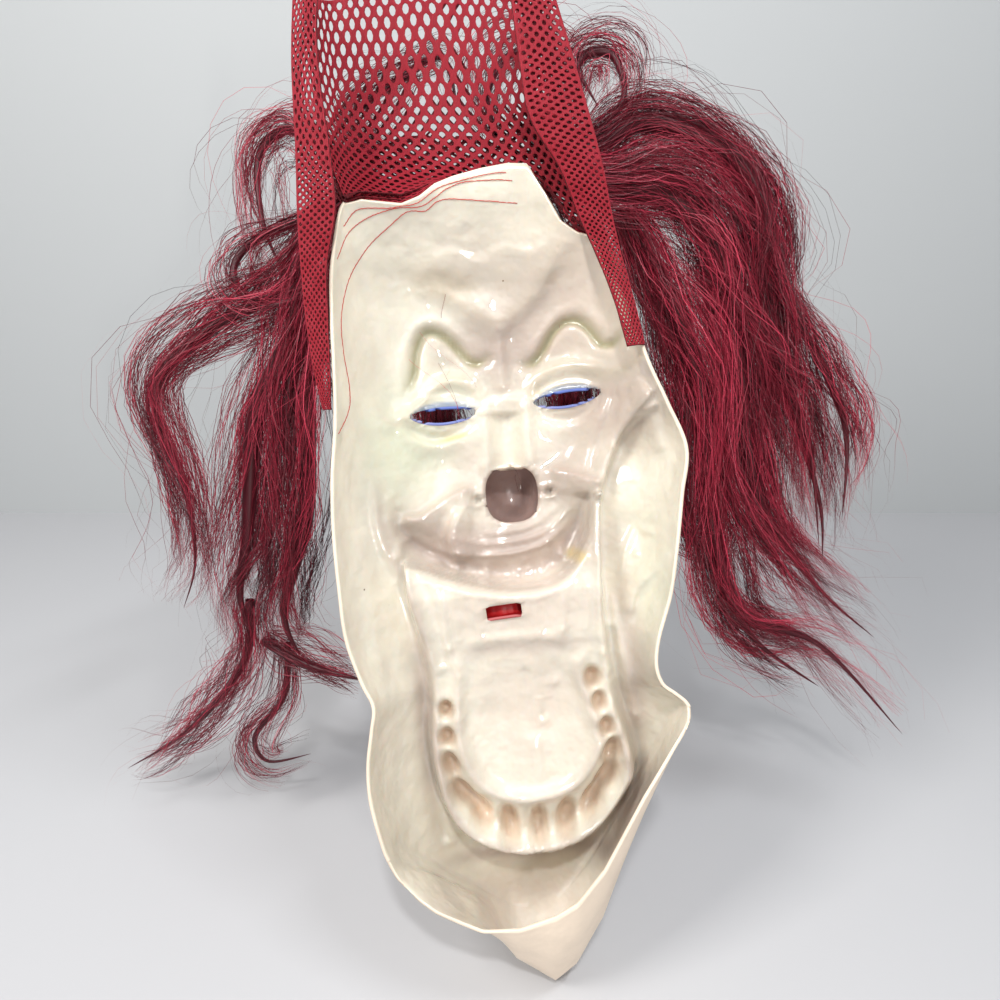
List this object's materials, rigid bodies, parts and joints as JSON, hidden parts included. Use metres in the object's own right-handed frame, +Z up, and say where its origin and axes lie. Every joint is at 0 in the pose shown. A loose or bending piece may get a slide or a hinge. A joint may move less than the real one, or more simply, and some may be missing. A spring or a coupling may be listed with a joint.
{
  "type": "clown mask with net cap and wig",
  "caption": "Hollow latex clown face mask with open eyes, round nose, wide toothed mouth and chin cup, sewn to a mesh net cap with long wig hair, hanging by the cap.",
  "frame": {"origin": "where the net cap is held, at the top of its left band", "axes": "+Z up as the mask hangs, -Y towards the viewer who looks into its hollow side, +Y the way the face looks, +X to that viewer's right"},
  "size_m": [0.5233, 0.2506, 0.499],
  "materials": {
    "latex": "glossy cream natural latex inside, matt pale peach outside",
    "red_net": "crimson polyester warp-knit mesh",
    "wig_hair": "dark burgundy synthetic hair with a soft sheen"
  },
  "bodies": {
    "root": {"mask_shell": "latex", "net_crown": "red_net", "net_band_left": "red_net", "net_band_right": "red_net", "wig_left": "wig_hair", "wig_right": "wig_hair"}
  },
  "joints": []
}
